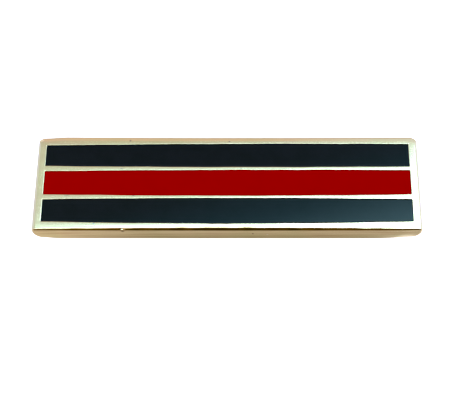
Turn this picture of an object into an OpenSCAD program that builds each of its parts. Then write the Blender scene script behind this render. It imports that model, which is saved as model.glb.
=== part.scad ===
// Ribbon bar: a gold-plated brass bar with three enamelled stripes and a pin clasp on its back.
// X runs along the bar, Y points to the far long side and Z out of the enamelled face.
// The origin is under the middle of the bar, on the surface that the clasp lies on.

/* [Plate] */
// Length of the plate
plate_length = 34.9; // [30:0.1:60]
// Width of the plate
plate_width = 9.5; // [8.5:0.1:14]
// Thickness of the plate
plate_thickness = 2.2; // [2:0.1:4]
// Radius of the face's edge along the near side
near_edge_radius = 0.25; // [0.1:0.05:0.5]
// Radius of the face's edge along the far side
far_edge_radius = 0.5; // [0.1:0.05:0.6]
// Radius of the face's edges at both ends
end_edge_radius = 0.35; // [0.1:0.05:0.5]
// Radius of the back's edges along both sides
back_edge_radius = 0.5; // [0.2:0.05:0.8]
// Radius of the back's edges at both ends
back_end_radius = 1.5; // [0.3:0.1:1.6]
// Radius of the two near corners, seen from above
near_corner_radius = 0.2; // [0.1:0.05:0.6]
// Radius of the two far corners, seen from above
far_corner_radius = 0.5; // [0.1:0.05:0.8]

/* [Stripes] */
// Polished border between the stripes and the long sides
side_border = 0.76; // [0.7:0.02:1.2]
// Polished border between the stripes and the ends
end_border = 0.78; // [0.7:0.02:2]
// Metal rib between two stripes, where it is thinnest
rib_width = 0.31; // [0.2:0.01:0.6]
// Width of the upper stripe at mid length
upper_stripe_width = 2.36; // [1.6:0.02:2.8]
// Width of the middle stripe at mid length
middle_stripe_width = 2.56; // [1.6:0.02:2.8]
// How far the stripes sit off the middle of the plate, towards the far side
stripe_offset = -0.1; // [-0.15:0.01:0.1]
// How much narrower each long edge of a stripe gets towards its ends
stripe_bow = 0.1; // [0.02:0.01:0.2]
// Depth of the cell that holds a stripe
cell_depth = 0.5; // [0.3:0.05:0.8]

/* [Enamel] */
// How far the enamel lies below the polished face
enamel_recess = 0.03; // [0:0.01:0.1]
// Gap between the enamel and its cell, at the walls and under it
enamel_gap = 0.02; // [0.01:0.01:0.05]

/* [Pin clasp] */
// Distance from each end of the plate to the clasp's base strip
clasp_inset = 5; // [3:0.1:7]
// Width of the base strip
strip_width = 3.8; // [3:0.1:5]
// Thickness of the base strip
strip_thickness = 0.4; // [0.3:0.05:0.6]
// Corner radius of the base strip
strip_corner_radius = 0.6; // [0.2:0.1:1.2]
// Gap between the base strip and the plate's back
bond_gap = 0.02; // [0.01:0.01:0.05]
// Distance from the strip's ends to the hinge block and to the catch
block_inset = 0.8; // [0.4:0.1:1.5]
// Length of the hinge block
hinge_length = 3; // [2:0.1:4]
// Width of the hinge block
hinge_width = 3.2; // [2:0.1:3.8]
// Radius of the hinge block's lower edges
hinge_edge_radius = 0.6; // [0.2:0.1:0.9]
// Diameter of the pin's wire
pin_diameter = 0.8; // [0.6:0.05:1]
// Gap between the pin and the base strip
pin_gap = 1; // [0.8:0.1:1.8]
// Length of the pin's tapered point
point_length = 2.2; // [1.5:0.1:3]
// Diameter of the pin's tip
tip_diameter = 0.16; // [0.1:0.02:0.3]
// How far the tip stands past the catch
point_overrun = 0.6; // [0.3:0.1:0.8]
// Length of the catch
catch_length = 2.4; // [1.6:0.1:3]
// Wall of the catch
catch_wall = 0.45; // [0.35:0.05:0.7]
// Gap between the pin and the catch
catch_gap = 0.1; // [0.05:0.05:0.2]

/* [Hidden] */
$fn = 64;
// Steps along a bowed edge
bow_steps = 16;
// Overlap of a cutter past the face that it cuts
cut = 1;

// Heights, from the surface that the clasp lies on
catch_radius = pin_diameter / 2 + catch_gap;
pin_z = catch_wall + catch_radius;
strip_z = pin_z + pin_diameter / 2 + pin_gap;
back_z = strip_z + strip_thickness + bond_gap;
face_z = back_z + plate_thickness;

// Places along the clasp
strip_end = plate_length / 2 - clasp_inset;
hinge_start = -strip_end + block_inset;
hinge_end = hinge_start + hinge_length;
catch_end = strip_end - block_inset;
catch_start = catch_end - catch_length;
tip_x = catch_end + point_overrun;

// Places of the stripes: [lowest y, highest y] at mid length
stripes_top = plate_width / 2 - side_border + stripe_offset;
stripes_bottom = -plate_width / 2 + side_border + stripe_offset;
upper_span = [stripes_top - upper_stripe_width, stripes_top];
middle_span = [upper_span[0] - rib_width - middle_stripe_width, upper_span[0] - rib_width];
lower_span = [stripes_bottom, middle_span[0] - rib_width];
stripe_half_length = plate_length / 2 - end_border;

// Points of one stripe: two straight ends and two long edges that bow out by stripe_bow.
// Each edge is drawn in by gap.
function bow_at(s) = stripe_bow * s * s;
function stripe_points(span, gap) = [
    for (i = [0 : bow_steps])
        let (s = -1 + 2 * i / bow_steps)
        [s * (stripe_half_length - gap), span[0] + bow_at(s) + gap],
    for (i = [bow_steps : -1 : 0])
        let (s = -1 + 2 * i / bow_steps)
        [s * (stripe_half_length - gap), span[1] - bow_at(s) - gap]
];

// Rectangle from low to high with its own radius at each corner:
// [low x low y, high x low y, high x high y, low x high y]
module rounded_rectangle(low, high, radii) {
    size = high - low;
    corners = [low, [high[0], low[1]], high, [low[0], high[1]]];
    inward = [[1, 1], [-1, 1], [-1, -1], [1, -1]];
    difference() {
        translate(low) square(size);
        for (i = [0 : 3])
            if (radii[i] > 0)
                translate(corners[i]) mirror([inward[i][0] < 0 ? 1 : 0, 0])
                    mirror([0, inward[i][1] < 0 ? 1 : 0]) corner_cutter(radii[i]);
    }
}

// What a rounded corner takes off, with the corner at the origin and the shape at +X +Y
module corner_cutter(radius) {
    difference() {
        translate([-cut, -cut]) square(radius + cut);
        translate([radius, radius]) circle(radius);
    }
}

// The stripe's outline, pulled up from z over the given height
module stripe_block(span, gap, z, height) {
    translate([0, 0, z]) linear_extrude(height) polygon(stripe_points(span, gap));
}

// Struck blank with every edge rounded, before the cells are cut
module blank() {
    half_l = plate_length / 2;
    half_w = plate_width / 2;
    intersection() {
        // Seen from above
        translate([0, 0, back_z]) linear_extrude(plate_thickness)
            rounded_rectangle([-half_l, -half_w], [half_l, half_w],
                [near_corner_radius, near_corner_radius, far_corner_radius, far_corner_radius]);
        // Seen from the end: Y across, Z up
        translate([-half_l - cut, 0, 0]) rotate([90, 0, 90]) linear_extrude(plate_length + 2 * cut)
            rounded_rectangle([-half_w, back_z], [half_w, face_z],
                [back_edge_radius, back_edge_radius, far_edge_radius, near_edge_radius]);
        // Seen from the near side: X across, Z up
        translate([0, half_w + cut, 0]) rotate([90, 0, 0]) linear_extrude(plate_width + 2 * cut)
            rounded_rectangle([-half_l, back_z], [half_l, face_z],
                [back_end_radius, back_end_radius, end_edge_radius, end_edge_radius]);
    }
}

module plate() {
    color([0.90, 0.78, 0.50]) difference() {
        blank();
        for (span = [upper_span, middle_span, lower_span])
            stripe_block(span, 0, face_z - cell_depth, cell_depth + cut);
    }
}

// Enamel filling of one cell
module enamel(span) {
    stripe_block(span, enamel_gap, face_z - cell_depth + enamel_gap,
        cell_depth - enamel_gap - enamel_recess);
}

module enamel_upper() {
    color([0.10, 0.13, 0.17]) enamel(upper_span);
}

module enamel_middle() {
    color([0.61, 0.02, 0.03]) enamel(middle_span);
}

module enamel_lower() {
    color([0.10, 0.13, 0.17]) enamel(lower_span);
}

// Flat strip that is bonded to the plate's back
module base_strip() {
    half_w = strip_width / 2;
    r = strip_corner_radius;
    translate([0, 0, strip_z]) linear_extrude(strip_thickness)
        rounded_rectangle([-strip_end, -half_w], [strip_end, half_w], [r, r, r, r]);
}

// Block that holds the fixed end of the pin
module hinge_block() {
    r = hinge_edge_radius;
    translate([0, hinge_width / 2, 0]) rotate([90, 0, 0]) linear_extrude(hinge_width)
        rounded_rectangle([hinge_start, 0], [hinge_end, strip_z + strip_thickness / 2], [r, r, 0, 0]);
}

// Wire along X with a tapered point
module pin_wire() {
    wire_end = tip_x - point_length;
    translate([hinge_end - hinge_length / 2, 0, pin_z]) rotate([0, 90, 0])
        cylinder(h = wire_end - hinge_end + hinge_length / 2, d = pin_diameter);
    translate([wire_end, 0, pin_z]) rotate([0, 90, 0])
        cylinder(h = point_length, d1 = pin_diameter, d2 = tip_diameter);
}

// Hook open towards the near side, seen from the end: Y across, Z up
module catch_hook() {
    outer = catch_radius + catch_wall;
    translate([catch_start, 0, 0]) rotate([90, 0, 90]) linear_extrude(catch_length) difference() {
        rounded_rectangle([-outer, 0], [outer, strip_z + strip_thickness / 2],
            [catch_wall, catch_wall, 0, 0]);
        translate([0, pin_z]) circle(catch_radius);
        translate([-outer - cut, pin_z])
            square([outer + cut + catch_radius, strip_z - pin_z]);
    }
}

module pin_clasp() {
    color([0.78, 0.76, 0.72]) union() {
        base_strip();
        hinge_block();
        pin_wire();
        catch_hook();
    }
}

plate();
enamel_upper();
enamel_middle();
enamel_lower();
pin_clasp();
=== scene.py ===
"""Dresses the ribbon bar: its plated plate, three enamel stripes and the pin clasp on its back.

X runs along the bar, Y to its far long side and Z out of the enamelled face. Every size in a class
is in millimetres and becomes metres when its mesh is made.
"""

import logging
import math
from collections.abc import Callable, Iterable, Sequence
from dataclasses import dataclass, field
from enum import Enum
from functools import partial

import bmesh
import bpy
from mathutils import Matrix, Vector
from mathutils.geometry import delaunay_2d_cdt, tessellate_polygon


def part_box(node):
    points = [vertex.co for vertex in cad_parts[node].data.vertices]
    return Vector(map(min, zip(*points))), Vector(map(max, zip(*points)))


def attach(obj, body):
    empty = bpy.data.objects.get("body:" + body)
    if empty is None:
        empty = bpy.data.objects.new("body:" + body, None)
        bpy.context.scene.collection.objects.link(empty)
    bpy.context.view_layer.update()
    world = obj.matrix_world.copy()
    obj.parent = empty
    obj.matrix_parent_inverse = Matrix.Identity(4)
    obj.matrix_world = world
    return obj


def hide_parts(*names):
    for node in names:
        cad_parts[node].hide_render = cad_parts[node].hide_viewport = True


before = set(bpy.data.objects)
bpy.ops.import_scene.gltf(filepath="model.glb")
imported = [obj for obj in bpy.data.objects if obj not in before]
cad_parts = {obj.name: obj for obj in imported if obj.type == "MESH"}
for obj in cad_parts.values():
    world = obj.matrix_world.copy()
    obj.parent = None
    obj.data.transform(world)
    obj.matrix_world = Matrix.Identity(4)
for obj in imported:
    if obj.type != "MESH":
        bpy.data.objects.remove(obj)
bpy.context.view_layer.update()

LOG = logging.getLogger("ribbon_bar")
MM = 0.001
ROOT = "root"
PHOTO_WIDTH = 450
SENSOR_WIDTH = 36.0
QUARTER = math.pi / 2
# Gap between the enamel and its cell
ENAMEL_GAP = 0.02
# Which way each corner of a rectangle points, in the order that an outline runs
CORNER_SIGNS = ((-1, -1), (1, -1), (1, 1), (-1, 1))

Spot = tuple[float, float]
Point = tuple[float, float, float]
Light = tuple[float, float, float]
Colour = tuple[float, float, float, float]
SizeAt = Callable[["Side", float], float]
Source = bpy.types.Node | bpy.types.NodeSocket
Adder = Callable[..., bpy.types.Node]


class Side(Enum):
    """The four sides of a rectangle seen from above, in the order that an outline runs."""

    NEAR = 0
    RIGHT = 1
    FAR = 2
    LEFT = 3


class Stripe(Enum):
    """The three enamel stripes; each value is the name of the solid that it stands for."""

    UPPER = "enamel_upper"
    MIDDLE = "enamel_middle"
    LOWER = "enamel_lower"


class Axis(Enum):
    """The axis that a part of the clasp runs along."""

    X = 0
    Y = 1
    Z = 2


class Measure(Enum):
    """What bounds a light of the room, worked out from the direction that the metal mirrors."""

    EAST = 0
    NORTH = 1
    UP = 2
    SIDEWAYS = 3
    SLANT = 4
    FACING = 5


def srgb(code: str) -> Colour:
    """Turns an sRGB hex colour into linear light.

    Args:
        code: Six hex digits after a hash sign.

    Returns:
        Linear red, green and blue, and an alpha of one.
    """
    channels = []
    for start in (1, 3, 5):
        value = int(code[start : start + 2], 16) / 255
        channels.append(value / 12.92 if value <= 0.04045 else ((value + 0.055) / 1.055) ** 2.4)
    return (*channels, 1.0)


def smooth(share: float) -> float:
    """Eases a share from 0 to 1, held inside that range."""
    share = min(1.0, max(0.0, share))
    return share * share * (3 - 2 * share)


def arc(centre: Spot, radius: float, start: float, turn: float, steps: int = 8) -> list[Spot]:
    """Gives points along a circular arc that runs from the angle start over the angle turn."""
    angles = [start + step / steps * turn for step in range(steps + 1)]
    return [(centre[0] + radius * math.cos(angle), centre[1] + radius * math.sin(angle))
            for angle in angles]


def encloses(outline: Sequence[Spot], spot: Vector) -> bool:
    """Tells whether a spot lies inside a closed outline, by the edges that a line from it crosses."""
    crossed = [(y1 > spot.y) != (y2 > spot.y) and spot.x < (x2 - x1) * (spot.y - y1) / (y2 - y1) + x1
               for (x1, y1), (x2, y2) in zip(outline, [*outline[1:], outline[0]])]
    return sum(crossed) % 2 == 1


def output_of(source: Source) -> bpy.types.NodeSocket:
    """Gives a node's first output, or the socket itself."""
    return source.outputs[0] if isinstance(source, bpy.types.Node) else source


def add_node(tree: bpy.types.NodeTree, kind: str, settings: dict | None = None,
             links: dict | None = None) -> bpy.types.Node:
    """Adds one node with its settings and links.

    Args:
        tree: Node tree that the node goes into.
        kind: Blender's name of the node type, without ShaderNode in front.
        settings: Properties of the node, values of its inputs by name or number, and the colours
            of a ramp by their places, under the name ramp.
        links: What feeds each input, by the input's name or number. A node stands for its first
            output.

    Returns:
        The new node.
    """
    node = tree.nodes.new("ShaderNode" + kind)
    for key, value in (settings or {}).items():
        if key == "ramp":
            stops = node.color_ramp.elements
            for place, colour in value.items():
                stops.new(place).color = srgb(colour)
            stops.remove(stops[0])
            stops.remove(stops[-1])
        elif isinstance(key, str) and hasattr(node, key):
            setattr(node, key, value)
        else:
            node.inputs[key].default_value = value
    for key, source in (links or {}).items():
        tree.links.new(output_of(source), node.inputs[key])
    return node


def put_in_scene(name: str, data: bpy.types.ID) -> bpy.types.Object:
    """Makes an object of a mesh, a lamp or a camera.

    Args:
        name: Name of the object.
        data: What it shows.

    Returns:
        The object, linked to the scene.
    """
    made = bpy.data.objects.new(name, data)
    bpy.context.scene.collection.objects.link(made)
    return made


def make_piece(name: str, shape: bmesh.types.BMesh, material: bpy.types.Material) -> bpy.types.Object:
    """Turns a finished shape into a smooth-shaded object.

    Args:
        name: Name of the object and its mesh.
        shape: The shape, which is freed.
        material: Material of every face.

    Returns:
        The object, linked to the scene.
    """
    mesh = bpy.data.meshes.new(name)
    shape.to_mesh(mesh)
    shape.free()
    mesh.shade_smooth()
    mesh.materials.append(material)
    return put_in_scene(name, mesh)


class MeshDraft:
    """Points in millimetres and faces, collected before they become one object."""

    def __init__(self) -> None:
        """Starts with no points and no faces."""
        self.points: list[Point] = []
        self.faces: list[tuple[int, ...]] = []

    def ring(self, points: Iterable[Point]) -> list[int]:
        """Adds a closed ring of points.

        Args:
            points: The ring's points in order.

        Returns:
            The numbers of the new points.
        """
        first = len(self.points)
        self.points.extend(points)
        return list(range(first, len(self.points)))

    def bridge(self, rings: Sequence[list[int]]) -> None:
        """Joins each ring to the next with four-sided faces.

        Args:
            rings: Rings with the same number of points, in order.
        """
        for lower, upper in zip(rings, rings[1:]):
            for here in range(len(lower)):
                after = (here + 1) % len(lower)
                self.faces.append((lower[here], lower[after], upper[after], upper[here]))

    def fill(self, ring: list[int]) -> None:
        """Fills a flat ring of points."""
        outline = [Vector(self.points[number]) for number in ring]
        self.faces.extend(tuple(ring[i] for i in corners) for corners in tessellate_polygon([outline]))

    def fill_around(self, outer: list[int], holes: Sequence[list[int]],
                    inner: Sequence[Point]) -> None:
        """Fills a region that has holes, with more points inside to carry its gentle shape.

        Args:
            outer: The outer ring.
            holes: Rings of the holes.
            inner: Points between the rings.
        """
        numbers: list[int] = []
        edges: list[tuple[int, int]] = []
        outlines = []
        for ring in (outer, *holes):
            first = len(numbers)
            numbers.extend(ring)
            edges.extend((first + here, first + (here + 1) % len(ring)) for here in range(len(ring)))
            outlines.append([self.points[number][:2] for number in ring])
        numbers.extend(self.ring(inner))
        flat = [Vector(self.points[number][:2]) for number in numbers]
        _, _, faces, origins, _, _ = delaunay_2d_cdt(flat, edges, [], 0, 1e-7)
        for face in faces:
            corners = [numbers[origins[corner][0]] for corner in face]
            middle = sum((Vector(self.points[corner][:2]) for corner in corners), Vector((0, 0))) / 3
            in_hole = any(encloses(hole, middle) for hole in outlines[1:])
            if encloses(outlines[0], middle) and not in_hole:
                self.faces.append(tuple(corners))

    def build(self, name: str, material: bpy.types.Material) -> bpy.types.Object:
        """Makes one object of all points and faces.

        Args:
            name: Name of the object and its mesh.
            material: Material of every face.

        Returns:
            The object, linked to the scene.
        """
        shape = bmesh.new()
        corners = [shape.verts.new([value * MM for value in point]) for point in self.points]
        for face in self.faces:
            shape.faces.new([corners[number] for number in face])
        bmesh.ops.recalc_face_normals(shape, faces=shape.faces)
        return make_piece(name, shape, material)


@dataclass(frozen=True)
class Outline:
    """Rounded rectangle that gives the same points in the same order at every inset."""

    low: Spot
    high: Spot
    long_steps: int = 180
    short_steps: int = 40
    arc_steps: int = 8

    def ring(self, inset: SizeAt, height: SizeAt, radii: Sequence[float]) -> list[Point]:
        """Works out one ring.

        Args:
            inset: How far each side lies inside the rectangle, by side and share along it.
            height: Height of each side's edge, by side and share along it.
            radii: Corner radii: near left, near right, far right, far left.

        Returns:
            The ring's points, counter-clockwise from the near left corner.
        """
        points: list[Point] = []
        for number, (signs, radius) in enumerate(zip(CORNER_SIGNS, radii)):
            before, after = Side((number + 3) % 4), Side(number)
            crossing = (before, after) if number % 2 == 0 else (after, before)
            centre = []
            for axis, (side, sign) in enumerate(zip(crossing, signs)):
                drawn = inset(side, 1.0 if side is before else 0.0)
                edge = self.low[axis] + drawn if sign < 0 else self.high[axis] - drawn
                centre.append(edge - sign * radius)
            spots = arc(centre, radius, math.pi + number * QUARTER, QUARTER, self.arc_steps)
            for step, spot in enumerate(spots):
                blend = smooth(step / self.arc_steps)
                points.append((*spot, height(before, 1.0) * (1 - blend) + height(after, 0.0) * blend))
            points.extend(self.side_points(after, inset, height, points[-1], radii))
        return points

    def side_points(self, side: Side, inset: SizeAt, height: SizeAt, start: Point,
                    radii: Sequence[float]) -> list[Point]:
        """Works out the points between two corners.

        Args:
            side: Which side.
            inset: How far each side lies inside the rectangle.
            height: Height of each side's edge.
            start: Last point of the corner before the side.
            radii: Corner radii.

        Returns:
            The points after start and before the next corner.
        """
        along = 0 if side in (Side.NEAR, Side.FAR) else 1
        across = 1 - along
        after = Side((side.value + 1) % 4)
        if side in (Side.NEAR, Side.RIGHT):
            stop = self.high[along] - inset(after, 0.0) - radii[after.value]
        else:
            stop = self.low[along] + inset(after, 0.0) + radii[after.value]
        points = []
        steps = self.short_steps if along else self.long_steps
        for step in range(1, steps):
            share = step / steps
            drawn = inset(side, share)
            spot = [0.0, 0.0, height(side, share)]
            spot[along] = start[along] + (stop - start[along]) * share
            spot[across] = (self.low[across] + drawn if side in (Side.NEAR, Side.LEFT)
                            else self.high[across] - drawn)
            points.append(tuple(spot))
        return points


@dataclass(frozen=True)
class Finish:
    """Base of every finish: what a finish gives as constants and layers becomes its material."""

    name: str

    def constants(self) -> dict[str, object]:
        """Gives the values that are the same all over, by the shader's inputs."""
        return {}

    def layers(self, add: Adder) -> dict[str, Source]:
        """Adds what varies over the piece, and gives what feeds each of the shader's inputs."""
        return {}

    def material(self) -> bpy.types.Material:
        """Makes the material.

        Returns:
            The material.
        """
        made = bpy.data.materials.new(self.name)
        made.use_nodes = True
        tree = made.node_tree
        shader = tree.nodes["Principled BSDF"]
        for key, value in self.constants().items():
            shader.inputs[key].default_value = value
        for key, source in self.layers(partial(add_node, tree)).items():
            tree.links.new(output_of(source), shader.inputs[key])
        return made


@dataclass(frozen=True)
class ColourSpot:
    """Small spot of colour in the plating: its place, how far it reaches and its colour. Most are darker
    spots; the bright one is a painted highlight.
    """

    place: Point
    reach: Point
    colour: str


@dataclass(frozen=True)
class GoldPlating(Finish):
    """Thin gold plating on struck brass, polished by hand on a soft wheel.

    The eye gets a pale warm mirror with faint lines along the bar, slightly wavy reflections,
    streaks on the long sides, a few small darker spots and one small painted highlight on the near
    side. Real polishing lines lie a few hundredths of a millimetre apart; the lines and streaks are
    drawn coarser than that, so that they show.
    """

    name: str = "polished_gold_plating"
    colour: str = "#F9DCA2"
    rosy: str = "#F7D7A1"
    greenish: str = "#F2DB9E"
    streak_shade: str = "#ECE2D9"
    roughness_low: float = 0.10
    roughness_high: float = 0.15
    patch_mm: float = 4.0
    streak_mm: float = 0.22
    streak_stretch: float = 28.0
    line_mm: float = 0.18
    line_stretch: float = 22.0
    line_height_mm: float = 0.0008
    wave_mm: float = 5.0
    wave_height_mm: float = 0.004
    specks_and_glint: tuple[ColourSpot, ...] = (
        ColourSpot((2.32, -4.82, 4.22), (0.10, 0.3, 0.12), "#A07C5C"),
        # Painted highlight: a bright spot where a knock's facet would mirror the window
        ColourSpot((3.62, -4.82, 4.01), (0.10, 0.3, 0.10), "#FFE9C8"),
        ColourSpot((-9.30, -4.80, 4.66), (0.21, 0.3, 0.12), "#8E744C"),
        ColourSpot((-8.98, 4.25, 4.95), (0.10, 0.09, 0.2), "#A58F78"),
        ColourSpot((0.17, 4.15, 4.95), (0.10, 0.09, 0.2), "#A58F78"),
        ColourSpot((1.24, 1.38, 4.95), (0.09, 0.07, 0.2), "#A58F78"),
        ColourSpot((-11.90, -4.15, 4.95), (0.13, 0.10, 0.2), "#C2BBA0"),
        ColourSpot((-10.95, -4.02, 4.95), (0.06, 0.09, 0.2), "#A7A78C"),
        ColourSpot((-8.45, -1.38, 4.95), (0.16, 0.06, 0.2), "#9C8C74"),
        ColourSpot((-14.50, -1.37, 4.95), (0.35, 0.06, 0.2), "#C8B58E"),
        ColourSpot((-9.67, 1.36, 4.95), (0.16, 0.07, 0.2), "#C8B58E"),
    )

    def constants(self) -> dict[str, object]:
        """Makes it metal."""
        return {"Metallic": 1.0}

    def layers(self, add: Adder) -> dict[str, Source]:
        """Adds the colour, the polishing lines and the long waves.

        Args:
            add: Adds a node to the material.

        Returns:
            The colour, the roughness and the normal.
        """
        place = add("TexCoord").outputs["Object"]
        stretched = add("Mapping", {"Scale": (1 / self.line_stretch, 1.0, 1.0)}, {"Vector": place})
        lines = add("TexNoise", {"Scale": 1 / (self.line_mm * MM), "Detail": 3.0, "Roughness": 0.6},
                    {"Vector": stretched})
        gloss = add("MapRange", {"From Min": 0.3, "From Max": 0.7, "To Min": self.roughness_low,
                                 "To Max": self.roughness_high}, {"Value": lines})
        waves = add("TexNoise", {"Scale": 1 / (self.wave_mm * MM), "Detail": 1.0}, {"Vector": place})
        long_bump = add("Bump", {"Strength": 1.0, "Distance": self.wave_height_mm * MM},
                        {"Height": waves})
        fine_bump = add("Bump", {"Strength": 1.0, "Distance": self.line_height_mm * MM},
                        {"Height": lines, "Normal": long_bump})
        return {"Base Color": self.tint(add, place), "Roughness": gloss, "Normal": fine_bump}

    def tint(self, add: Adder, place: bpy.types.NodeSocket) -> bpy.types.NodeSocket:
        """Adds the colour: soft patches, streaks along the long sides, darker spots and one painted
        highlight.

        Args:
            add: Adds a node to the material.
            place: Place on the piece.

        Returns:
            The colour.
        """
        patches = add("TexNoise", {"Scale": 1 / (self.patch_mm * MM), "Detail": 2.0, "Roughness": 0.5},
                      {"Vector": place})
        base = add("ValToRGB", {"ramp": {0.3: self.rosy, 0.5: self.colour, 0.7: self.greenish}},
                   {"Fac": patches})
        stretched = add("Mapping", {"Scale": (1 / self.streak_stretch, 1.0, 1.0)}, {"Vector": place})
        streaks = add("TexNoise", {"Scale": 1 / (self.streak_mm * MM), "Detail": 2.0, "Distortion": 0.1},
                      {"Vector": stretched})
        wear = add("ValToRGB", {"ramp": {0.3: self.streak_shade, 0.52: "#FFFFFF"}}, {"Fac": streaks})
        normal = add("NewGeometry").outputs["Normal"]
        across = add("SeparateXYZ", links={0: normal}).outputs["Y"]
        long_side = add("Math", {"operation": "ABSOLUTE"}, {0: across})
        share = add("MapRange", {"From Min": 0.75, "From Max": 0.95}, {"Value": long_side})
        colour = add("Mix", {"data_type": "RGBA", "blend_type": "MULTIPLY"},
                     {0: share, 6: base, 7: wear}).outputs[2]
        # Mixes in each spot: darker spots, and one painted highlight on the near side
        for colour_spot in self.specks_and_glint:
            middle = [-value / reach for value, reach in zip(colour_spot.place, colour_spot.reach)]
            size = [1 / (reach * MM) for reach in colour_spot.reach]
            near = add("Mapping", {"Location": middle, "Scale": size}, {"Vector": place})
            away = add("VectorMath", {"operation": "LENGTH"}, {0: near}).outputs["Value"]
            share = add("MapRange", {"interpolation_type": "SMOOTHSTEP", "From Min": 0.4,
                                     "From Max": 1.0, "To Min": 1.0, "To Max": 0.0}, {"Value": away})
            colour = add("Mix", {"data_type": "RGBA", 7: srgb(colour_spot.colour)},
                         {0: share, 6: colour}).outputs[2]
        return colour


@dataclass(frozen=True)
class HardEnamel(Finish):
    """Coloured hard enamel, ground nearly level with the metal and polished.

    The eye gets a deep even colour under a glassy skin with hardly any texture.
    """

    colour: str
    deeper: str
    shine: str
    ior: float
    roughness: float
    cloud_mm: float = 1.6
    ripple_mm: float = 2.5
    ripple_height_mm: float = 0.001

    def constants(self) -> dict[str, object]:
        """Gives the glassy skin."""
        return {"IOR": self.ior, "Specular Tint": srgb(self.shine), "Roughness": self.roughness}

    def layers(self, add: Adder) -> dict[str, Source]:
        """Adds faint clouds in the colour and ripples in the skin.

        Args:
            add: Adds a node to the material.

        Returns:
            The colour and the normal.
        """
        place = add("TexCoord").outputs["Object"]
        clouds = add("TexNoise", {"Scale": 1 / (self.cloud_mm * MM), "Detail": 3.0}, {"Vector": place})
        tint = add("ValToRGB", {"ramp": {0.35: self.deeper, 0.6: self.colour}}, {"Fac": clouds})
        ripples = add("TexNoise", {"Scale": 1 / (self.ripple_mm * MM), "Detail": 1.0},
                      {"Vector": place})
        bump = add("Bump", {"Strength": 1.0, "Distance": self.ripple_height_mm * MM},
                   {"Height": ripples})
        return {"Base Color": tint, "Normal": bump}


@dataclass(frozen=True)
class NickelPlating(Finish):
    """Nickel plating on drawn and stamped steel, left as it comes from the barrel.

    The eye gets a plain, slightly warm grey metal with soft reflections and a faint grain.
    """

    name: str = "nickel_plated_steel"
    colour: str = "#D6D1C6"
    shade: str = "#C2BCB0"
    roughness_low: float = 0.18
    roughness_high: float = 0.32
    grain_mm: float = 0.5
    grain_height_mm: float = 0.002

    def constants(self) -> dict[str, object]:
        """Makes it metal."""
        return {"Metallic": 1.0}

    def layers(self, add: Adder) -> dict[str, Source]:
        """Adds the grain.

        Args:
            add: Adds a node to the material.

        Returns:
            The colour, the roughness and the normal.
        """
        place = add("TexCoord").outputs["Object"]
        grain = add("TexNoise", {"Scale": 1 / (self.grain_mm * MM), "Detail": 4.0}, {"Vector": place})
        tint = add("ValToRGB", {"ramp": {0.35: self.shade, 0.65: self.colour}}, {"Fac": grain})
        gloss = add("MapRange", {"From Min": 0.3, "From Max": 0.7, "To Min": self.roughness_low,
                                 "To Max": self.roughness_high}, {"Value": grain})
        bump = add("Bump", {"Strength": 1.0, "Distance": self.grain_height_mm * MM},
                   {"Height": grain})
        return {"Base Color": tint, "Roughness": gloss, "Normal": bump}


@dataclass(frozen=True)
class AcrylicSheet(Finish):
    """Cast white acrylic sheet with a matt face, lit from below.

    The eye gets plain white right up to the bar.
    """

    name: str = "white_acrylic_sheet"
    colour: str = "#F4F4F2"
    light: str = "#FFFFFF"
    glow: float = 1.0
    roughness: float = 0.9

    def constants(self) -> dict[str, object]:
        """Gives the matt face and its light."""
        return {"Base Color": srgb(self.colour), "Roughness": self.roughness, "Specular IOR Level": 0.0,
                "Emission Color": srgb(self.light), "Emission Strength": self.glow}


@dataclass(frozen=True)
class EdgeCurve:
    """How one long edge of a cell leaves the solid's straight edge, most of all at its ends."""

    middle: float
    bow: float
    lean: float
    ripple: float = 0.008
    slow_wave: float = 11.0
    fast_wave: float = 26.0
    phase: float = 0.0
    dips: tuple[float, ...] = ()
    dip_depth: float = 0.03
    dip_half: float = 0.012

    def draw_in(self, along: float) -> float:
        """Works out how far the edge is drawn in.

        Args:
            along: Place from -1 at the left end to 1 at the right end.

        Returns:
            Millimetres towards the cell's middle.
        """
        wave = (math.sin(self.slow_wave * along + self.phase)
                + 0.7 * math.sin(self.fast_wave * along + 2.3 * self.phase))
        dip = sum(self.dip_depth * math.exp(-((along - place) / self.dip_half) ** 2)
                  for place in self.dips)
        return self.middle + self.bow * along * along + self.lean * along + self.ripple * wave - dip


CELL_EDGES = {
    Stripe.UPPER: (EdgeCurve(-0.002, 0.084, -0.025, phase=0.4),
                   EdgeCurve(-0.040, 0.088, -0.074, phase=1.9)),
    Stripe.MIDDLE: (EdgeCurve(-0.029, 0.121, 0.000, phase=3.1),
                    EdgeCurve(-0.006, 0.071, -0.052, phase=4.4)),
    Stripe.LOWER: (EdgeCurve(-0.044, 0.192, 0.003, phase=5.2, dips=(-0.08, 0.0)),
                   EdgeCurve(-0.029, 0.122, -0.006, phase=0.9)),
}
RIGHT_REACH = {Stripe.UPPER: 0.0, Stripe.MIDDLE: 0.018, Stripe.LOWER: 0.043}


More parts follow.
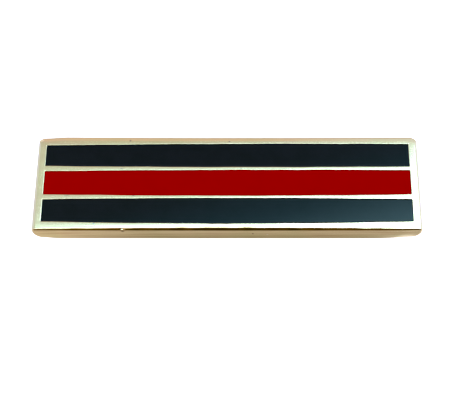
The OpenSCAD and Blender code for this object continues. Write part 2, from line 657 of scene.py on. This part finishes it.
@dataclass(frozen=True)
class Cell:
    """One sunk cell of the plate, which a stripe of enamel fills."""

    low: Spot
    high: Spot
    floor: float
    near: EdgeCurve
    far: EdgeCurve
    corner: float = 0.05
    least_corner: float = 0.01

    @staticmethod
    def of(stripe: Stripe) -> "Cell":
        """Reads a cell's place from the solid of its stripe.

        Args:
            stripe: Which stripe.

        Returns:
            The cell.
        """
        low, high = (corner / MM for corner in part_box(stripe.value))
        gap = ENAMEL_GAP
        right = high.x + gap + RIGHT_REACH[stripe]
        return Cell((low.x - gap, low.y - gap), (right, high.y + gap), low.z - gap, *CELL_EDGES[stripe])

    def ring(self, inset: float, height: Callable[[float, float], float]) -> list[Point]:
        """Works out the cell's outline, drawn in by inset.

        Args:
            inset: How far the outline lies inside the cell.
            height: Height at a place on it.

        Returns:
            The outline's points.
        """
        def inset_at(side: Side, share: float) -> float:
            """Adds the curve of a long edge to the inset."""
            curves = {Side.NEAR: (self.near, 2 * share - 1), Side.FAR: (self.far, 1 - 2 * share)}
            return inset + curves[side][0].draw_in(curves[side][1]) if side in curves else inset

        radius = max(self.corner - inset, self.least_corner)
        outline = Outline(self.low, self.high, long_steps=240, arc_steps=4)
        flat = outline.ring(inset_at, lambda side, share: 0.0, [radius] * 4)
        return [(x, y, height(x, y)) for x, y, _ in flat]

    def distance(self, x: float, y: float) -> float:
        """Works out how far a place lies outside the cell.

        Args:
            x: Place along the bar.
            y: Place across the bar.

        Returns:
            The distance to the cell's edge, 0 or less inside.
        """
        along = max(-1.0, min(1.0, (2 * x - self.low[0] - self.high[0]) / (self.high[0] - self.low[0])))
        beyond_x = max(self.low[0] - x, x - self.high[0])
        beyond_y = max(self.low[1] + self.near.draw_in(along) - y,
                       y - self.high[1] + self.far.draw_in(along))
        if beyond_x > 0 and beyond_y > 0:
            return math.hypot(beyond_x, beyond_y)
        return max(beyond_x, beyond_y)


@dataclass
class Plate:
    """Struck blank with rounded edges and its three cells."""

    cells: list[Cell]
    grow_left: float = 0.02
    grow_right: float = 0.06
    grow_near: float = 0.045
    grow_far: float = 0.016
    far_rise_left: float = 0.08
    far_rise_right: float = 0.013
    near_wear: float = 0.03
    near_wear_length: float = 1.8
    far_wear: float = 0.13
    far_wear_length: float = 2.2
    near_edge_middle: float = 0.31
    near_edge_end: float = 0.16
    near_edge_ripple: float = 0.012
    slow_wave: float = 71.0
    fast_wave: float = 113.0
    far_edge: float = 0.56
    end_edge: float = 0.35
    side_crown: float = 0.03
    back_edge: float = 0.5
    back_edge_worn_left: float = 0.8
    back_edge_worn_right: float = 0.84
    worn_length_left: float = 1.3
    worn_length_right: float = 2.7
    back_end_edge: float = 1.8
    back_end_edge_right: float = 1.85
    back_rims: Spot = (0.015, 0.05)
    near_corner: float = 0.2
    far_left_corner: float = 0.58
    far_right_corner: float = 0.6
    least_corner: float = 0.04
    back_growth: float = 0.6
    rim: float = 0.03
    rim_margin: float = 0.015
    buffed_edge: float = 0.004
    buffed_near: float = 0.0015
    buffed_far: float = 0.006
    buffed_edge_reach: float = 0.35
    buffed_far_reach: float = 0.25
    buffed_rim: float = 0.002
    buffed_rim_reach: float = 0.10
    crown: float = 0.010
    dish: float = 0.008
    dish_reach: float = 0.38
    nick_at: float = -9.34
    nick_half: float = 0.19
    nick_depth: float = 0.09
    nick_width: float = 0.17
    edge_steps: int = 16
    side_steps: int = 6
    back_steps: int = 16
    rim_steps: int = 4
    grid: Spot = (0.2, 0.07)
    grid_margin: float = 0.03
    low: Vector = field(init=False)
    high: Vector = field(init=False)

    def __post_init__(self) -> None:
        """Reads the plate's box from its solid and grows it by what the photograph shows."""
        low, high = (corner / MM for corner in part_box("plate"))
        self.low = low - Vector((self.grow_left, self.grow_near, 0.0))
        self.high = high + Vector((self.grow_right, self.grow_far, 0.0))

    def face_edge(self, side: Side, share: float) -> float:
        """Works out the radius of the face's edge; the near side's is broader at mid length.

        Args:
            side: Which side.
            share: Share along it.

        Returns:
            The radius.
        """
        if side is not Side.NEAR:
            return self.far_edge if side is Side.FAR else self.end_edge
        wave = math.sin(self.slow_wave * share) + 0.8 * math.sin(self.fast_wave * share + 2.0)
        # The ripple fades out over the last eighth at each end
        ripple = self.near_edge_ripple * wave * min(1.0, 8 * share, 8 - 8 * share)
        narrower = (self.near_edge_end - self.near_edge_middle) * (2 * share - 1) ** 2
        return self.near_edge_middle + narrower + ripple

    def rear_edge(self, side: Side, share: float) -> float:
        """Works out the radius of the back's edge; the near side's is worn broader at both ends.

        Args:
            side: Which side.
            share: Share along it.

        Returns:
            The radius.
        """
        if side is not Side.NEAR:
            return {Side.LEFT: self.back_end_edge, Side.RIGHT: self.back_end_edge_right,
                    Side.FAR: self.back_edge}[side]
        worn = self.back_edge_worn_left if share < 0.5 else self.back_edge_worn_right
        reach = self.worn_length_left if share < 0.5 else self.worn_length_right
        to_end = min(share, 1 - share) * (self.high.x - self.low.x)
        return self.back_edge + (worn - self.back_edge) * (1 - smooth(to_end / reach))

    def tuck(self, side: Side, share: float, above_back: float) -> float:
        """Works out how far the back's rounding draws a side in, at a height above the back."""
        radius = self.rear_edge(side, share)
        return radius - math.sqrt(radius ** 2 - max(radius - above_back, 0.0) ** 2)

    def bulge(self, z: float) -> float:
        """Works out how far the sides bulge at a height between the back and the face's edge."""
        share = (z - self.low.z) / (self.high.z - self.near_edge_middle - self.low.z)
        return self.side_crown * math.sin(math.pi * min(share, 1.0))

    def stray(self, side: Side, share: float) -> float:
        """Works out how far a side stands out.

        The far side rises to both ends. Wear draws in the near side's right end and the far
        side's left end.

        Args:
            side: Which side.
            share: Share along it.

        Returns:
            The distance, less than 0 where the side is worn.
        """
        to_end = (1 - share) * (self.high.x - self.low.x)
        if side is Side.NEAR:
            return self.near_wear * (smooth(to_end / self.near_wear_length) - 1)
        if side is not Side.FAR:
            return 0.0
        rise = self.far_rise_right if share < 0.5 else self.far_rise_left
        return rise * (2 * share - 1) ** 2 + self.far_wear * (smooth(to_end / self.far_wear_length) - 1)

    def face_height(self, x: float, y: float) -> float:
        """Works out the height of the polished face.

        It has a faint crown, is dished in the middle and buffed down at every edge.

        Args:
            x: Place along the bar.
            y: Place across the bar.

        Returns:
            The height.
        """
        half = (self.high.y - self.low.y) / 2
        across = (y - (self.high.y + self.low.y) / 2) / half
        drop = self.crown * across ** 2 + self.dish * math.exp(-(across / self.dish_reach) ** 2)
        for depth, away, reach in (
            (self.buffed_edge, x - self.low.x - self.end_edge, self.buffed_edge_reach),
            (self.buffed_edge, self.high.x - self.end_edge - x, self.buffed_edge_reach),
            (self.buffed_near, y - self.low.y - self.near_edge_middle, self.buffed_edge_reach),
            (self.buffed_far, self.high.y - self.far_edge - y, self.buffed_far_reach),
            (self.buffed_rim, min(cell.distance(x, y) for cell in self.cells), self.buffed_rim_reach),
        ):
            drop += depth * math.exp(-max(away, 0.0) / reach)
        return self.high.z - drop

    def nicked(self, point: Point) -> Point:
        """Lowers a point of the near edge to the small ledge that a knock has left.

        Args:
            point: The point.

        Returns:
            The point, lowered where it lies in the knock.
        """
        x, y, z = point
        ledge = self.high.z - self.nick_depth
        if abs(x - self.nick_at) > self.nick_half or z < ledge or y > self.low.y + self.nick_width:
            return point
        share = smooth(2 * (1 - abs(x - self.nick_at) / self.nick_half))
        return (x, y, z - (z - ledge) * share)

    def corner_radii(self, growth: float, cut: float) -> list[float]:
        """Gives the corner radii of a level, with what the back adds and the face's edge takes."""
        corners = (self.near_corner, self.near_corner, self.far_right_corner, self.far_left_corner)
        return [max(radius + growth - cut, self.least_corner) for radius in corners]

    def shell(self) -> list[list[Point]]:
        """Works out the rings of the outer skin.

        Returns:
            Rings from the face, down the side, to the back.
        """
        crown = self.side_crown
        outline = Outline((self.low.x - crown, self.low.y - crown),
                          (self.high.x + crown, self.high.y + crown), long_steps=400)
        rings: list[list[Point]] = []

        def add(inset: SizeAt, height: SizeAt, growth: float = 0.0, cut: float = 0.0) -> None:
            """Adds one level of the skin."""
            rings.append(outline.ring(lambda side, t: crown + inset(side, t) - self.stray(side, t),
                                      height, self.corner_radii(growth, cut)))

        for step in range(self.edge_steps + 1):
            angle = QUARTER * step / self.edge_steps
            left = 1 - math.sin(angle)
            drop = 1 - math.cos(angle)
            add(lambda side, t, k=left: self.face_edge(side, t) * k,
                lambda side, t, k=drop: self.face_edge(side, t) * k, cut=self.end_edge * left)
            top = rings[0] if step else [(x, y, self.face_height(x, y)) for x, y, _ in rings[0]]
            rings[-1] = [self.nicked((x, y, under[2] - down))
                         for (x, y, down), under in zip(rings[-1], top)]
        shoulder = self.low.z + self.back_end_edge
        for step in range(1, self.side_steps):

            def level(side: Side, t: float, share: float = step / self.side_steps) -> float:
                """Gives the level's height between the face's edge and the shoulder."""
                return (self.high.z - self.face_edge(side, t)) * (1 - share) + shoulder * share

            add(lambda side, t, at=level: -self.bulge(at(side, t)), level)
        for step in range(self.back_steps + 1):
            angle = QUARTER * step / self.back_steps
            above = self.back_end_edge * (1 - math.sin(angle))
            add(lambda side, t, a=above: self.tuck(side, t, a) - self.bulge(self.low.z + a),
                lambda side, t, a=above: self.low.z + a,
                growth=self.back_growth * (1 - math.cos(angle)))
        for extra in self.back_rims:
            add(lambda side, t, e=extra: self.rear_edge(side, t) + e,
                lambda side, t: self.low.z, growth=self.back_growth)
        return rings

    def face_points(self) -> list[Point]:
        """Spreads points over the metal between the face's edge and the cells.

        Returns:
            Points on the polished face.
        """
        spots: list[Point] = []
        margin = self.grid_margin
        step_x, step_y = self.grid
        columns = int((self.high.x - self.low.x - 2 * self.end_edge - 2 * margin) / step_x)
        rows = int((self.high.y - self.low.y - self.far_edge - self.near_edge_middle) / step_y)
        for column in range(columns + 1):
            x = self.low.x + self.end_edge + margin + column * step_x
            share = (x - self.low.x) / (self.high.x - self.low.x)
            start = self.low.y + self.face_edge(Side.NEAR, share) + margin
            stop = self.high.y - self.far_edge - margin
            for row in range(rows + 1):
                y = start + (stop - start) * row / rows
                if min(cell.distance(x, y) for cell in self.cells) > self.rim + margin:
                    spots.append((x, y, self.face_height(x, y)))
        return spots

    def build(self, material: bpy.types.Material) -> bpy.types.Object:
        """Makes the plate.

        Args:
            material: Its plating.

        Returns:
            The plate's object.
        """
        draft = MeshDraft()
        skin = [draft.ring(points) for points in self.shell()]
        draft.bridge(skin)
        rims = []
        for cell in self.cells:
            levels = [cell.ring(-self.rim - self.rim_margin, self.face_height)]
            for step in range(self.rim_steps + 1):
                angle = QUARTER * step / self.rim_steps
                sunk = self.rim * (1 - math.cos(angle))
                levels.append(cell.ring(-self.rim * (1 - math.sin(angle)),
                                        lambda x, y, s=sunk: self.face_height(x, y) - s))
            levels.append(cell.ring(0.0, lambda x, y, floor=cell.floor: floor))
            rings = [draft.ring(points) for points in levels]
            draft.bridge(rings)
            draft.fill(rings[-1])
            rims.append(rings[0])
        draft.fill_around(skin[0], rims, self.face_points())
        draft.fill(skin[-1])
        made = draft.build("plated_plate", material)
        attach(made, ROOT)
        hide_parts("plate")
        return made


@dataclass
class EnamelFill:
    """Enamel in one cell, ground level, with a narrow rounded edge beside the metal."""

    stripe: Stripe
    cell: Cell
    slot: str
    top: float
    gap: float = ENAMEL_GAP
    edge: float = 0.05
    edge_steps: int = 4
    flat_margin: float = 0.02

    def build(self, material: bpy.types.Material) -> bpy.types.Object:
        """Makes the filling.

        Args:
            material: Its enamel.

        Returns:
            The filling's object.
        """
        draft = MeshDraft()
        levels = [(self.gap, self.cell.floor + self.gap)]
        for step in range(self.edge_steps + 1):
            angle = QUARTER * step / self.edge_steps
            levels.append((self.gap + self.edge * (1 - math.cos(angle)),
                           self.top - self.edge * (1 - math.sin(angle))))
        levels.append((self.gap + self.edge + self.flat_margin, self.top))
        rings = [draft.ring(self.cell.ring(inset, lambda x, y, h=height: h))
                 for inset, height in levels]
        draft.bridge(rings)
        draft.fill(rings[0])
        draft.fill(rings[-1])
        made = draft.build(f"{self.stripe.value}_fill", material)
        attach(made, ROOT)
        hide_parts(self.stripe.value)
        return made


@dataclass
class PinClasp:
    """Plain bar pin clasp on the plate's back: base strip, hinge, pin wire and catch."""

    strip_thickness: float = 0.4
    strip_corner: float = 0.6
    block_inset: float = 0.8
    hinge_length: float = 3.0
    hinge_width: float = 3.2
    hinge_edge: float = 0.6
    cheek: float = 0.7
    roll_below_axis: float = 0.06
    roll_side_gap: float = 0.03
    roll_chamfer: float = 0.12
    roll_end_share: float = 0.86
    rivet_radius: float = 0.42
    rivet_head: float = 0.12
    rivet_chamfer: float = 0.07
    rivet_end_share: float = 0.7
    pin_diameter: float = 0.8
    point_length: float = 2.2
    point_shares: tuple[float, ...] = (0.15, 0.35, 0.6, 0.8, 0.93)
    point_power: float = 1.3
    tip_diameter: float = 0.16
    tip_length: float = 0.04
    point_overrun: float = 0.6
    catch_length: float = 2.4
    catch_wall: float = 0.45
    catch_gap: float = 0.1
    bevel: float = 0.07
    bevel_angle_deg: float = 35.0
    crease_angle_deg: float = 40.0
    round_steps: int = 32
    low: Vector = field(init=False)
    high: Vector = field(init=False)
    shape: bmesh.types.BMesh = field(init=False)

    def __post_init__(self) -> None:
        """Reads the clasp's box from its solid and starts with an empty shape."""
        self.low, self.high = (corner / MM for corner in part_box("pin_clasp"))
        self.shape = bmesh.new()

    @property
    def strip_z(self) -> float:
        """Height of the base strip's lower face."""
        return self.high.z - self.strip_thickness

    @property
    def block_top(self) -> float:
        """Height that the hinge and the catch reach inside the strip."""
        return self.strip_z + self.strip_thickness / 2

    @property
    def pin_z(self) -> float:
        """Height of the pin's axis."""
        return self.catch_wall + self.pin_diameter / 2 + self.catch_gap

    def skin(self, along: Axis,
             sections: Sequence[tuple[float, Sequence[Spot]]]) -> list[bmesh.types.BMFace]:
        """Adds a closed skin over sections with the same number of points.

        Args:
            along: Axis that it runs along.
            sections: Each section's place on that axis and its points, by the other two axes.

        Returns:
            Its faces.
        """
        rings = []
        for place, outline in sections:
            spots = [[*point[: along.value], place, *point[along.value :]] for point in outline]
            rings.append([self.shape.verts.new(Vector(spot) * MM) for spot in spots])
        faces = [self.shape.faces.new(rings[0]), self.shape.faces.new(rings[-1])]
        for lower, upper in zip(rings, rings[1:]):
            for here in range(len(lower)):
                after = (here + 1) % len(lower)
                corners = (lower[here], lower[after], upper[after], upper[here])
                faces.append(self.shape.faces.new(corners))
        bmesh.ops.recalc_face_normals(self.shape, faces=faces)
        return faces

    def prism(self, profile: Sequence[Spot], along: Axis, start: float, stop: float) -> None:
        """Adds a bevelled prism.

        Args:
            profile: Points across the prism.
            along: Axis that it runs along.
            start: Where it starts on that axis.
            stop: Where it stops on that axis.
        """
        faces = self.skin(along, [(start, profile), (stop, profile)])
        edges = dict.fromkeys(edge for face in faces for edge in face.edges)
        limit = math.radians(self.bevel_angle_deg)
        sharp = [edge for edge in edges if edge.calc_face_angle(0.0) > limit]
        bmesh.ops.bevel(self.shape, geom=sharp, offset=self.bevel * MM, segments=3, profile=0.5,
                        affect="EDGES", clamp_overlap=True)

    def rod(self, along: Axis, stations: Sequence[Spot], centre: Spot) -> None:
        """Adds a closed round bar, from each station's place along it and its radius there."""
        self.skin(along, [(place, arc(centre, radius, 0.0, 2 * math.pi, self.round_steps)[:-1])
                          for place, radius in stations])

    def base_strip(self) -> None:
        """Adds the strip with its round corners."""
        radius = self.strip_corner
        profile: list[Spot] = []
        for number, (sign_x, sign_y) in enumerate(CORNER_SIGNS):
            centre = (sign_x * (self.high.x - radius), sign_y * (self.high.y - radius))
            profile.extend(arc(centre, radius, math.pi + number * QUARTER, QUARTER))
        self.prism(profile, Axis.Z, self.strip_z, self.high.z)

    def hinge(self) -> None:
        """Adds the folded hinge: two cheeks, the roll between them and the rivet through them."""
        start = self.low.x + self.block_inset
        stop = start + self.hinge_length
        radius = self.hinge_edge
        half = self.hinge_width / 2
        profile = [(start, self.block_top), *arc((start + radius, radius), radius, math.pi, QUARTER),
                   *arc((stop - radius, radius), radius, -QUARTER, QUARTER), (stop, self.block_top)]
        self.prism(profile, Axis.Y, -half, -half + self.cheek)
        self.prism(profile, Axis.Y, half - self.cheek, half)
        for end, barrel, chamfer, share in (
            (half - self.cheek - self.roll_side_gap, self.pin_z - self.roll_below_axis,
             self.roll_chamfer, self.roll_end_share),
            (half + self.rivet_head, self.rivet_radius, self.rivet_chamfer, self.rivet_end_share),
        ):
            stations = [(-end, barrel * share), (-end + chamfer, barrel), (end - chamfer, barrel),
                        (end, barrel * share)]
            self.rod(Axis.Y, stations, ((start + stop) / 2, self.pin_z))

    def wire(self) -> None:
        """Adds the pin's wire, ground to a point past the catch."""
        radius, tip_radius = self.pin_diameter / 2, self.tip_diameter / 2
        start = self.low.x + self.block_inset + self.hinge_length / 2
        tip = self.high.x - self.block_inset + self.point_overrun
        shoulder = tip - self.point_length
        stations = [(start, radius), (shoulder, radius)]
        for share in self.point_shares:
            stations.append((shoulder + self.point_length * share,
                             radius + (tip_radius - radius) * share ** self.point_power))
        stations.extend(((tip - self.tip_length, tip_radius), (tip, self.tip_diameter / 5)))
        self.rod(Axis.X, stations, (0.0, self.pin_z))

    def catch(self) -> None:
        """Adds the catch: one folded strip, open towards the near side."""
        wall = self.catch_wall
        inner = self.pin_diameter / 2 + self.catch_gap
        outer = inner + wall
        stop = self.high.x - self.block_inset
        profile = [(outer, self.block_top), *arc((outer - wall, wall), wall, 0.0, -QUARTER),
                   *arc((-outer + wall, wall), wall, -QUARTER, -QUARTER), (-outer, self.pin_z),
                   *arc((0.0, self.pin_z), inner, math.pi, math.pi, 16), (inner, self.block_top)]
        self.prism(profile, Axis.X, stop - self.catch_length, stop)

    def build(self, material: bpy.types.Material) -> bpy.types.Object:
        """Makes the clasp.

        Args:
            material: Its plating.

        Returns:
            The clasp's object.
        """
        for add_part in (self.base_strip, self.hinge, self.wire, self.catch):
            add_part()
        made = make_piece("bar_pin_clasp", self.shape, material)
        made.data.set_sharp_from_angle(angle=math.radians(self.crease_angle_deg))
        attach(made, ROOT)
        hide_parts("pin_clasp")
        return made


@dataclass(frozen=True)
class Patch:
    """One light of the room, laid over the lights before it.

    Each limit gives a measure, the value where the light starts and the value where it is full.
    """

    name: str
    light: Light
    limits: tuple[tuple[Measure, float, float], ...]


EAST, NORTH, UP, SIDEWAYS, SLANT, FACING = Measure
# Band of directions that the bar's two ends mirror
END_BAND = ((NORTH, 0.12, 0.32), (NORTH, 0.64, 0.53))
# Directions towards the dark flag in front of the bar
FLAG = ((SLANT, 0.0, -0.28), (SIDEWAYS, 0.38, 0.2))
ROOM = (
    Patch("far wall", (0.49, 0.60, 0.71), ((NORTH, 0.44, 0.50),)),
    Patch("far wall on the right", (0.70, 1.00, 1.45), ((NORTH, 0.44, 0.50), (EAST, -0.08, 0.16))),
    Patch("far left corner", (0.87, 1.02, 1.46), ((NORTH, 0.6, 0.8), (EAST, -0.162, -0.184))),
    Patch("far right corner", (0.80, 1.10, 1.65), ((NORTH, 0.6, 0.8), (EAST, 0.115, 0.142))),
    Patch("foot of the far wall", (0.69, 0.66, 0.78), ((UP, 0.88, 0.78), (EAST, -0.34, -0.2))),
    Patch("foot of the wall, right", (0.72, 0.92, 1.35), ((UP, 0.88, 0.78), (EAST, 0.0, 0.15))),
    Patch("end walls", (0.86, 1.13, 2.0), (*END_BAND, (SIDEWAYS, 0.5, 0.85))),
    Patch("glow round the window", (0.80, 1.6, 2.5), ((FACING, 0.0, 0.05), (SIDEWAYS, 0.75, 0.5))),
    Patch("window", (6.0, 10.6, 17.5),
          ((FACING, 0.035, 0.135), (FACING, 0.22, 0.14), (SIDEWAYS, 0.75, 0.5))),
    Patch("ceiling", (1.10, 1.30, 1.45), ((NORTH, 0.36, 0.22),)),
    Patch("warm near half", (0.80, 0.72, 0.66), ((NORTH, 0.28, 0.08),)),
    Patch("dark flag", (0.09, 0.06, 0.02), FLAG),
    Patch("middle of the flag", (0.03, 0.026, 0.012),
          (*FLAG, (EAST, -0.10, -0.045), (EAST, 0.06, 0.01))),
    Patch("table", (0.52, 0.52, 0.58), ((UP, -0.1, -0.5),)),
    Patch("table below", (0.33, 0.33, 0.30), ((UP, -0.84, -0.94),)),
    Patch("table behind", (0.62, 0.62, 0.64), ((UP, 0.1, -0.15), (NORTH, 0.1, 0.4))),
    Patch("table on the left", (0.67, 0.66, 0.68), ((EAST, -0.08, -0.2), (UP, -0.3, -0.6))),
    Patch("table beside", (0.66, 0.80, 1.10),
          ((SIDEWAYS, 0.25, 0.42), (UP, -0.1, -0.4), (NORTH, 0.1, -0.05))),
    Patch("table under the back", (1.0, 1.08, 1.4), ((UP, -0.85, -0.93), (NORTH, -0.05, 0.25))),
    Patch("table under the right corner", (1.0, 1.08, 1.4),
          ((UP, -0.7, -0.85), (NORTH, -0.46, -0.36), (EAST, 0.105, 0.145))),
    Patch("table past the ends", (0.92, 1.2, 2.1), (*END_BAND, (SIDEWAYS, 0.25, 0.6), (UP, 0.1, -0.1))),
    Patch("left end wall", (0.70, 0.90, 1.45), (*END_BAND, (EAST, -0.5, -0.8))),
)


@dataclass
class Studio:
    """White table, the light that the metal mirrors, and the camera above the bar's face."""

    face_z: float
    elevation_deg: float = 64.3
    distance: float = 104.3
    aim: Spot = (2.14, -1.83)
    focal_px: float = 1157.0
    axis_px: float = 250.8
    clip_start_m: float = 0.005
    clip_end_m: float = 20.0
    overhead: Light = (0.59, 0.79, 0.98)
    patches: tuple[Patch, ...] = ROOM
    window_toward: Point = (0.25, -0.861, 0.443)
    table_half: float = 3000.0
    lamp_power: float = 0.02
    lamp_size_m: float = 0.5
    lamp_height_m: float = 0.5
    black_point: float = 0.01

    def camera(self) -> None:
        """Places the camera where the photograph was taken from."""
        lens = bpy.data.cameras.new("camera")
        lens.sensor_width = SENSOR_WIDTH
        lens.lens = self.focal_px / PHOTO_WIDTH * SENSOR_WIDTH
        lens.shift_x = (PHOTO_WIDTH / 2 - self.axis_px) / PHOTO_WIDTH
        lens.clip_start = self.clip_start_m
        lens.clip_end = self.clip_end_m
        made = put_in_scene("camera", lens)
        tilt = math.radians(self.elevation_deg)
        made.location = Vector((self.aim[0], self.aim[1] - self.distance * math.cos(tilt),
                                self.face_z + self.distance * math.sin(tilt))) * MM
        made.rotation_euler = (QUARTER - tilt, 0.0, 0.0)
        bpy.context.scene.camera = made

    def measures(self, add: Adder) -> dict[Measure, Source]:
        """Adds what the limits of the lights are measured by.

        Args:
            add: Adds a node to the world.

        Returns:
            What gives each measure.
        """
        toward = add("TexCoord").outputs["Generated"]
        east, north, up = add("SeparateXYZ", links={0: toward}).outputs
        centre = Vector(self.window_toward).normalized()
        facing = add("VectorMath", {"operation": "DOT_PRODUCT", 1: centre}, {0: toward})
        return {
            EAST: east, NORTH: north, UP: up, FACING: facing.outputs["Value"],
            SIDEWAYS: add("Math", {"operation": "ABSOLUTE"}, {0: east}),
            SLANT: add("Math", {"operation": "SUBTRACT"}, {0: north, 1: east}),
        }

    def surroundings(self) -> None:
        """Makes the world that the polished metal mirrors.

        Overhead and behind the bar is a pale room, to the near right a cool window with a soft
        edge, in front a dark flag, and below the white table.
        """
        world = bpy.data.worlds.new("room")
        bpy.context.scene.world = world
        world.use_nodes = True
        tree = world.node_tree
        add = partial(add_node, tree)
        measures = self.measures(add)
        start = add("RGB")
        start.outputs[0].default_value = (*self.overhead, 1.0)
        light = start.outputs[0]
        for patch in self.patches:
            share = None
            for measure, outer, inner in patch.limits:
                limit = add("MapRange", {"interpolation_type": "SMOOTHSTEP",
                                         "From Min": min(outer, inner), "From Max": max(outer, inner),
                                         "To Min": float(outer > inner), "To Max": float(outer <= inner)},
                            {"Value": measures[measure]})
                share = add("Math", {"operation": "MULTIPLY"}, {0: share, 1: limit}) if share else limit
            light = add("Mix", {"label": patch.name, "data_type": "RGBA", 7: (*patch.light, 1.0)},
                        {0: share, 6: light}).outputs[2]
        tree.links.new(light, tree.nodes["Background"].inputs["Color"])

    def table_top(self) -> None:
        """Makes the white table, bright enough to stay white right up to the bar."""
        mesh = bpy.data.meshes.new("table_top")
        half = self.table_half * MM
        mesh.from_pydata([(x * half, y * half, 0.0) for x, y in CORNER_SIGNS], [], [(0, 1, 2, 3)])
        mesh.materials.append(AcrylicSheet().material())
        made = put_in_scene("table_top", mesh)
        made.visible_glossy = False

    def lamp(self) -> None:
        """Adds one broad lamp overhead for even soft light; polished metal doesn't mirror it."""
        lamp = bpy.data.lights.new("overhead", "AREA")
        lamp.shape = "DISK"
        lamp.size = self.lamp_size_m
        lamp.energy = self.lamp_power
        made = put_in_scene("overhead", lamp)
        made.location = (0.0, 0.0, self.lamp_height_m)
        made.visible_glossy = False

    def tone(self) -> None:
        """Sets plain tones with the photograph's slightly raised black point."""
        settings = bpy.context.scene.view_settings
        settings.view_transform = "Standard"
        settings.look = "None"
        settings.use_curve_mapping = True
        settings.curve_mapping.black_level = (self.black_point,) * 3
        settings.curve_mapping.update()

    def build(self) -> None:
        """Makes everything round the bar."""
        self.camera()
        self.surroundings()
        self.table_top()
        self.lamp()
        self.tone()


def main() -> None:
    """Builds the bar, piece by piece, and the studio round it."""
    logging.basicConfig(level=logging.INFO, format="%(message)s")
    cells = {stripe: Cell.of(stripe) for stripe in Stripe}
    plate = Plate(list(cells.values()))
    black = HardEnamel("black_hard_enamel", "#1A161A", "#181417", "#F3FFDA", 1.309, 0.05).material()
    red = HardEnamel("red_hard_enamel", "#AC0000", "#AA0000", "#C00000", 1.2, 0.12).material()
    made = [plate.build(GoldPlating().material())]
    for stripe, cell in cells.items():
        is_red = stripe is Stripe.MIDDLE
        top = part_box(stripe.value)[1].z / MM
        fill = EnamelFill(stripe, cell, "red_enamel" if is_red else "black_enamel", top)
        made.append(fill.build(red if is_red else black))
    made.append(PinClasp().build(NickelPlating().material()))
    for piece in made:
        LOG.info("built %s with %d faces", piece.name, len(piece.data.polygons))
    Studio(plate.high.z).build()


if __name__ == "__main__":
    main()
